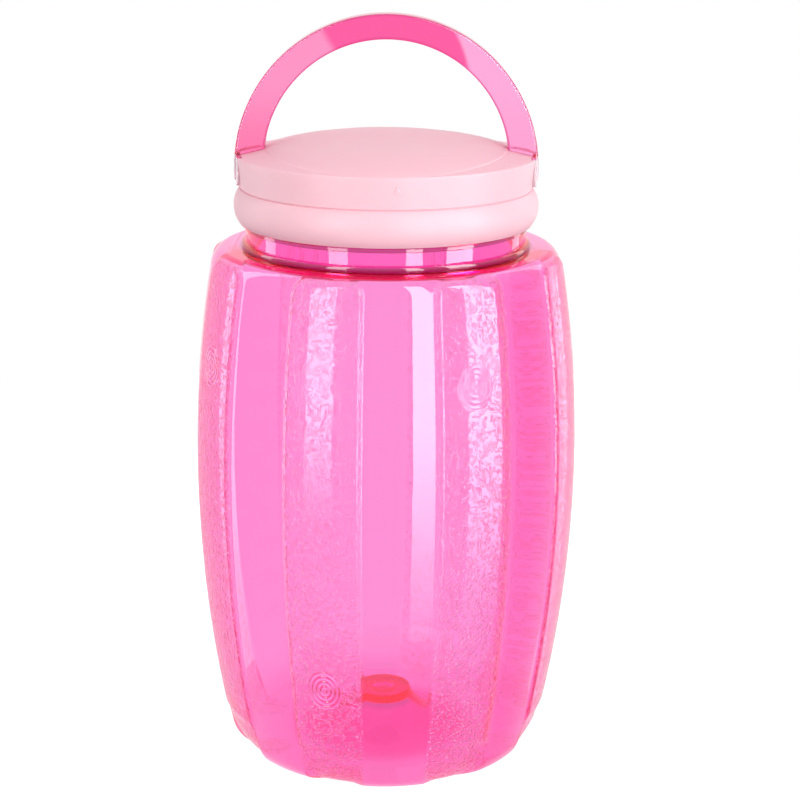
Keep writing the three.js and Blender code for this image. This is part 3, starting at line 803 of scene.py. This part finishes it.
RING_COLOUR = (0.86, 0.84, 0.84)
RING_DEEP = (0.8, 0.77, 0.77)
RING_CLOUD_SCALE = 200.0
RING_ROUGHNESS = 0.5
RING_SMEAR = 0.2
RING_SMEAR_SCALE = 500.0
RING_MILKINESS = 0.2

ring = Finish("milky_soft_rubber")
milk = ring.noise(ring.place, RING_CLOUD_SCALE)
ring.set("Base Color", ring.colours(milk, RING_COLOUR, RING_DEEP))
smear = ring.noise(ring.place, RING_SMEAR_SCALE)
ring.set("Roughness", RING_ROUGHNESS + RING_SMEAR * smear)
ring.set("Subsurface Weight", RING_MILKINESS)
ring.set("Subsurface Scale", MM)
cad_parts["seal_ring"].data.materials.clear()
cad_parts["seal_ring"].data.materials.append(ring.material)


# Carry handle
# One solid moulding of the jar's clear pink plastic: an arch with flat faces and eased
# edges, and at each foot a wide saddle that lies in a recess of the cover's band. The
# feet plug into the ledges, out of sight.

ARCH_OUTER = 59.4 * MM
ARCH_OUTER_CENTRE = 238.7 * MM
ARCH_INNER = 47.9 * MM
ARCH_INNER_CENTRE = 240.6 * MM
ARCH_DEPTH = 12 * MM
ARCH_EDGE = 1 * MM
ARCH_OVERRUN = 6 * DEGREE
ARCH_STEPS = 120
EDGE_STEPS = 5
CROWN_END = 24 * DEGREE
CROWN_FADE = 4 * DEGREE
CROWN_SKEW = 18 * DEGREE
CROWN_SLANT = 30 * MM
SHADE_HEIGHT = 30 * MM
SADDLE_HALF_WIDTH = 14 * MM
SADDLE_THICKNESS = 1.8 * MM
SADDLE_BOTTOM = 232.6 * MM
SADDLE_CORNER = 5 * MM
SADDLE_CORNER_STEPS = 8
SADDLE_CUTS = 16
OVERRUN = 4 * MM


def arch():
    """The bar: one section, turned about the inner circle's centre, then thinned."""
    bm = bmesh.new()
    middle = (ARCH_INNER + ARCH_OUTER) / 2
    half = (ARCH_OUTER - ARCH_INNER) / 2
    section = []
    for corner in range(4):
        across = 1 if corner in (0, 3) else -1
        deep = 1 if corner < 2 else -1
        for turn in steps(corner * math.pi / 2, (corner + 1) * math.pi / 2, EDGE_STEPS):
            section.append(bm.verts.new((
                middle + across * (half - ARCH_EDGE) + ARCH_EDGE * math.cos(turn),
                deep * (ARCH_DEPTH / 2 - ARCH_EDGE) + ARCH_EDGE * math.sin(turn),
                0,
            )))
    face = bm.faces.new(section)
    start = Matrix.Rotation(ARCH_OVERRUN, 3, "Y")
    bmesh.ops.rotate(bm, verts=bm.verts, cent=(0, 0, 0), matrix=start)
    bmesh.ops.spin(
        bm, geom=[*bm.verts, *bm.edges, face], cent=(0, 0, 0), axis=(0, -1, 0),
        angle=math.pi + 2 * ARCH_OVERRUN, steps=ARCH_STEPS,
    )
    lift = ARCH_INNER_CENTRE - ARCH_OUTER_CENTRE
    for vert in bm.verts:
        away = math.hypot(vert.co.x, vert.co.z)
        turn = math.atan2(vert.co.z, vert.co.x)
        rise, aside = lift * math.sin(turn), lift * math.cos(turn)
        reach = math.sqrt(ARCH_OUTER ** 2 - aside ** 2) - rise
        share = (away - ARCH_INNER) / (ARCH_OUTER - ARCH_INNER)
        away = mix(ARCH_INNER, reach, share)
        vert.co.x = away * math.cos(turn)
        vert.co.z = away * math.sin(turn) + ARCH_INNER_CENTRE
    bmesh.ops.remove_doubles(bm, verts=bm.verts, dist=MM / 1000)
    bmesh.ops.recalc_face_normals(bm, faces=bm.faces)
    return finished(bm, "clear_handle")


def under_feet():
    """What the feet must stay clear of: the ledges, up to the band's recess."""
    recess = RIM_RADIUS - SADDLE_THICKNESS
    bm = bmesh.new()
    verts = [bm.verts.new((0, -radius, height)) for radius, height in (
        (0, LID_BOTTOM), (recess, LID_BOTTOM), (recess, RIM_HEIGHT),
        (DOME_HALF_WIDTH, RIM_HEIGHT + MM), (0, RIM_HEIGHT + DOME_RISE),
    )]
    turned(bm, verts + [bm.edges.new(pair) for pair in zip(verts, verts[1:])], LID_STEPS)
    for vert in bm.verts:
        radius = math.hypot(vert.co.x, vert.co.y)
        if vert.co.z < RIM_HEIGHT - MM / 2 or radius < MM:
            continue
        angle = math.atan2(vert.co.x, -vert.co.y)
        reach = recess if radius > recess - MM else dome_edge(angle)
        height = ledge_height(angle, reach) + SMALL_GAP
        vert.co = (reach * math.sin(angle), -reach * math.cos(angle), height)
    return finished(bm, "under_feet")


def saddle(side, grow):
    """A plate with rounded lower corners, bent round the band at one side."""
    bm = bmesh.new()
    half = SADDLE_HALF_WIDTH + grow
    bottom = SADDLE_BOTTOM - grow
    corner = SADDLE_CORNER + grow
    top = RIM_HEIGHT + (OVERRUN if grow else 0)
    inner = RIM_RADIUS - SADDLE_THICKNESS - grow
    outer = RIM_RADIUS + (OVERRUN if grow else 0)
    turns = steps(0, math.pi / 2, SADDLE_CORNER_STEPS)
    outline = [(-half, top)]
    outline += [
        (-half + corner - corner * math.cos(turn), bottom + corner - corner * math.sin(turn))
        for turn in turns
    ]
    outline += [
        (half - corner + corner * math.sin(turn), bottom + corner - corner * math.cos(turn))
        for turn in turns
    ]
    outline.append((half, top))
    face = bm.faces.new([bm.verts.new((inner, y, z)) for y, z in outline])
    pushed = bmesh.ops.extrude_face_region(bm, geom=[face])["geom"]
    moved = [part for part in pushed if isinstance(part, bmesh.types.BMVert)]
    bmesh.ops.translate(bm, verts=moved, vec=(outer - inner, 0, 0))
    for cut in steps(-half, half, SADDLE_CUTS)[1:-1]:
        geometry = [*bm.verts, *bm.edges, *bm.faces]
        bmesh.ops.bisect_plane(bm, geom=geometry, plane_co=(0, cut, 0), plane_no=(0, 1, 0))
    for vert in bm.verts:
        turn = vert.co.y / RIM_RADIUS
        vert.co.x, vert.co.y = vert.co.x * math.cos(turn), vert.co.x * math.sin(turn)
    if side < 0:
        half_turn = Matrix.Rotation(math.pi, 3, "Z")
        bmesh.ops.rotate(bm, verts=bm.verts, cent=(0, 0, 0), matrix=half_turn)
    bmesh.ops.recalc_face_normals(bm, faces=bm.faces)
    return finished(bm, "saddle")


def combine(piece, tool, operation):
    """Joins a tool to a piece, or cuts it out of the piece, and removes the tool."""
    modifier = piece.modifiers.new(operation, "BOOLEAN")
    modifier.operation = operation
    modifier.solver = "EXACT"
    modifier.object = tool
    graph = bpy.context.evaluated_depsgraph_get()
    mesh = bpy.data.meshes.new_from_object(piece.evaluated_get(graph))
    piece.modifiers.clear()
    old = piece.data
    piece.data = mesh
    bpy.data.meshes.remove(old)
    bpy.data.objects.remove(tool)


handle = arch()
combine(handle, under_feet(), "DIFFERENCE")
for side in (-1, 1):
    combine(handle, saddle(side, 0), "UNION")
    combine(cover, saddle(side, SMALL_GAP), "DIFFERENCE")
combine(cover, band_mark(), "UNION")
for piece in (handle, cover):
    piece.data.shade_smooth()
    piece.data.set_sharp_from_angle(angle=SHARP)


BAR_COLOUR = (1.0, 0.62, 0.84)
BAR_ABSORBED = (1.0, 0.0, 0.6)
BAR_DENSITY = 70.0
# Painted reflections of the lamps in the legs' front faces: the left leg pale pink, the right near
# white
LEFT_LEG_PAINTED_REFLECTION = (1.0, 0.66, 0.78)
RIGHT_LEG_PAINTED_REFLECTION = (1.0, 0.93, 1.0)
# Painted shade on the legs low down by the lid, less of it on the right
LOW_PAINTED_SHADE = (1.0, 0.44, 0.6)
LOW_PAINTED_SHADE_AT_RIGHT = 0.2
CROWN_TINT = (1.0, 0.2, 0.5)
EDGE_TINT = (0.72, 0.08, 0.3)
EDGE_TINT_REACH = 0.3 * MM
SADDLE_COLOUR = (1.0, 0.8, 0.87)
SADDLE_DENSITY = 12.0
SADDLE_CLEARNESS = 0.5


def handle_finish():
    """The crown is thickest and takes the most tint, and the bar's top and underside take
    more than its front and back. The legs carry painted reflections, pale pink on the left
    and near white on the right, and painted shade low down by the lid, less on the right."""
    finish = clear_plastic("clear_pink_bar", BAR_COLOUR, BAR_ABSORBED, BAR_DENSITY)
    across = finish.x * finish.x
    above_outer = finish.z - ARCH_OUTER_CENTRE
    above_inner = finish.z - ARCH_INNER_CENTRE
    from_outer = ARCH_OUTER - (across + above_outer * above_outer).math("SQRT")
    from_inner = (across + above_inner * above_inner).math("SQRT") - ARCH_INNER
    side = finish.x.between(-CROWN_SLANT, CROWN_SLANT)
    # Painted reflections on the legs, blending from the left one to the right one
    legs_with_painted_light = finish.colours(side, LEFT_LEG_PAINTED_REFLECTION, RIGHT_LEG_PAINTED_REFLECTION)
    # Painted shade low on the legs, up to SHADE_HEIGHT above the rim, less on the right
    low = finish.z.between(RIM_HEIGHT + SHADE_HEIGHT, RIM_HEIGHT + 2 * MM)
    legs_with_painted_light = finish.colours(low * (1.0 - (1 - LOW_PAINTED_SHADE_AT_RIGHT) * side), legs_with_painted_light, LOW_PAINTED_SHADE)
    skew = from_outer * (CROWN_SKEW / (ARCH_OUTER - ARCH_INNER)) * side
    lean = (finish.x.math("ARCTAN2", above_inner) - skew).math("ABSOLUTE")
    crown = lean.between(CROWN_END + CROWN_FADE, CROWN_END)
    whole = finish.colours(crown, legs_with_painted_light, CROWN_TINT)
    edge = from_outer.math("MINIMUM", from_inner).between(ARCH_EDGE, EDGE_TINT_REACH)
    finish.set("Base Color", finish.colours(edge, whole, EDGE_TINT))
    return finish.material


def saddle_finish():
    """The thin saddles are paler and a little milky."""
    finish = clear_plastic("clear_saddle", SADDLE_COLOUR, BAR_ABSORBED, SADDLE_DENSITY)
    finish.set("Transmission Weight", SADDLE_CLEARNESS)
    return finish.material


handle.data.materials.clear()
handle.data.materials.append(handle_finish())
handle.data.materials.append(saddle_finish())
for face in handle.data.polygons:
    face.material_index = 1 if face.center.z < RIM_HEIGHT - MM / 10 else 0
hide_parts("carry_handle")
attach(handle, "lid")


# Studio
# A white table and a white surround. Soft boxes stand in front and at both sides, and
# give the upright highlights on the staves. One lamp lights the lid from the front.

TARGET_HEIGHT = 131 * MM
CAMERA_DISTANCE = 803.8 * MM
CAMERA_ELEVATION = 16.5 * DEGREE
CAMERA_ROLL = 0.32 * DEGREE
PICTURE_SIDE = 800
FOCAL_PIXELS = 1970
AXIS_PIXEL_X = 384.8
AXIS_PIXEL_Y = 430.2
SENSOR = 36.0


def stand_camera():
    data = bpy.data.cameras.new("camera")
    data.sensor_width = SENSOR
    data.lens = SENSOR * FOCAL_PIXELS / PICTURE_SIDE
    data.shift_x = (PICTURE_SIDE / 2 - AXIS_PIXEL_X) / PICTURE_SIDE
    data.shift_y = (AXIS_PIXEL_Y - PICTURE_SIDE / 2) / PICTURE_SIDE
    data.dof.use_dof = False
    camera = bpy.data.objects.new("camera", data)
    bpy.context.scene.collection.objects.link(camera)
    place = Matrix.Translation((
        0,
        -CAMERA_DISTANCE * math.cos(CAMERA_ELEVATION),
        TARGET_HEIGHT + CAMERA_DISTANCE * math.sin(CAMERA_ELEVATION),
    ))
    tilt = Matrix.Rotation(math.pi / 2 - CAMERA_ELEVATION, 4, "X")
    camera.matrix_world = place @ tilt @ Matrix.Rotation(CAMERA_ROLL, 4, "Z")
    bpy.context.scene.camera = camera


def seen_by(tree, path, rays):
    """1 where any of the named kinds of rays looks, 0 elsewhere."""
    seen = Value(tree, path.outputs[rays[0]])
    for ray in rays[1:]:
        seen = seen.math("MAXIMUM", Value(tree, path.outputs[ray]))
    return seen


SURROUND_LIGHT = 0.78


def surround():
    """A white that shows at full strength, and lights the jar a little less."""
    world = bpy.data.worlds.new("surround")
    world.use_nodes = True
    bpy.context.scene.world = world
    tree = world.node_tree
    background = tree.nodes["Background"]
    background.inputs["Strength"].default_value = SURROUND_LIGHT
    background.inputs["Color"].default_value = (1, 1, 1, 1)
    path = tree.nodes.new("ShaderNodeLightPath")
    white = tree.nodes.new("ShaderNodeEmission")
    seen = seen_by(tree, path, ("Is Camera Ray", "Is Glossy Ray", "Is Transmission Ray"))
    blend = tree.nodes.new("ShaderNodeMixShader")
    tree.links.new(seen.socket, blend.inputs[0])
    tree.links.new(background.outputs[0], blend.inputs[1])
    tree.links.new(white.outputs[0], blend.inputs[2])
    tree.links.new(blend.outputs[0], tree.nodes["World Output"].inputs["Surface"])


TABLE_RADIUS = 0.6
TABLE_STEPS = 96
TABLE_ROUGHNESS = 0.6
TABLE_WHITE = (0.9, 0.9, 0.9, 1.0)
TABLE_GLOW = 0.86


def table():
    """White where it is looked at, but for the jar's shadow. Gloss doesn't mirror it."""
    bm = bmesh.new()
    bmesh.ops.create_circle(bm, cap_ends=True, segments=TABLE_STEPS, radius=TABLE_RADIUS)
    floor = finished(bm, "table")
    finish = Finish("white_table")
    finish.set("Base Color", TABLE_WHITE)
    finish.set("Roughness", TABLE_ROUGHNESS)
    matt = Value(finish.tree, finish.shader.outputs[0])
    glow = finish.node("ShaderNodeEmission", inputs={"Strength": TABLE_GLOW})
    both = finish.node("ShaderNodeAddShader", inputs={0: matt, 1: glow})
    path = finish.node("ShaderNodeLightPath", output=None)
    seen = seen_by(finish.tree, path, ("Is Camera Ray", "Is Transmission Ray"))
    plain = finish.node("ShaderNodeMixShader", inputs={0: seen, 1: matt, 2: both})
    clear = finish.node("ShaderNodeBsdfTransparent")
    gloss = Value(finish.tree, path.outputs["Is Glossy Ray"])
    finish.surface(finish.node("ShaderNodeMixShader", inputs={0: gloss, 1: plain, 2: clear}))
    floor.data.materials.append(finish.material)


# Each soft box: its azimuth from the front to the right and its half width, in degrees
# as seen from the jar, its brightness at the top and low down, and the height in metres
# at which it has faded to the low one
SOFT_BOXES = (
    ("right_box", 22.5, 6.5, 11.5, 2.0, -0.75),
    ("far_right_box", 61.0, 12.0, 12.0, 1.0, -0.75),
    ("left_box", -38.0, 8.0, 10.0, 1.0, -0.4),
    ("side_box_left", -106.0, 7.0, 5.0, 2.0, -0.75),
    ("side_box_right", 131.0, 7.0, 3.0, 1.5, -0.75),
)
BOX_DISTANCE = 1.3
BOX_TOP = 2.2
BOX_BOTTOM = -0.75
BOX_FADE_TOP = 0.1


def soft_box(name, azimuth, half_width, bright, dim, faded):
    bm = bmesh.new()
    bmesh.ops.create_grid(bm, x_segments=1, y_segments=1, size=1)
    half = BOX_DISTANCE * math.tan(half_width * DEGREE)
    for vert in bm.verts:
        height = BOX_TOP if vert.co.y > 0 else BOX_BOTTOM
        vert.co = (vert.co.x * half, -BOX_DISTANCE, height)
    turn = Matrix.Rotation(azimuth * DEGREE, 3, "Z")
    bmesh.ops.rotate(bm, verts=bm.verts, cent=(0, 0, 0), matrix=turn)
    box = finished(bm, name)
    finish = Finish(name)
    strength = dim + (bright - dim) * finish.z.between(faded, BOX_FADE_TOP)
    finish.surface(finish.node("ShaderNodeEmission", inputs={"Strength": strength}))
    box.data.materials.append(finish.material)
    box.visible_camera = False
    box.visible_transmission = False
    box.visible_diffuse = False


LAMP_TURN = 30 * DEGREE
LAMP_HEIGHT = 0.8
LAMP_SIDE = 0.8
LAMP_POWER = 10.0


def front_lamp():
    data = bpy.data.lights.new("front_lamp", "AREA")
    data.size = LAMP_SIDE
    data.energy = LAMP_POWER
    light = bpy.data.objects.new("front_lamp", data)
    bpy.context.scene.collection.objects.link(light)
    across, away = BOX_DISTANCE * math.sin(LAMP_TURN), BOX_DISTANCE * math.cos(LAMP_TURN)
    place = Vector((across, -away, LAMP_HEIGHT))
    aim = place - Vector((0, 0, TARGET_HEIGHT))
    facing = aim.to_track_quat("Z", "Y").to_matrix().to_4x4()
    light.matrix_world = Matrix.Translation(place) @ facing
    light.visible_glossy = False
    light.visible_transmission = False


stand_camera()
surround()
front_lamp()
table()
for box in SOFT_BOXES:
    soft_box(*box)
bpy.context.scene.view_settings.view_transform = "Standard"
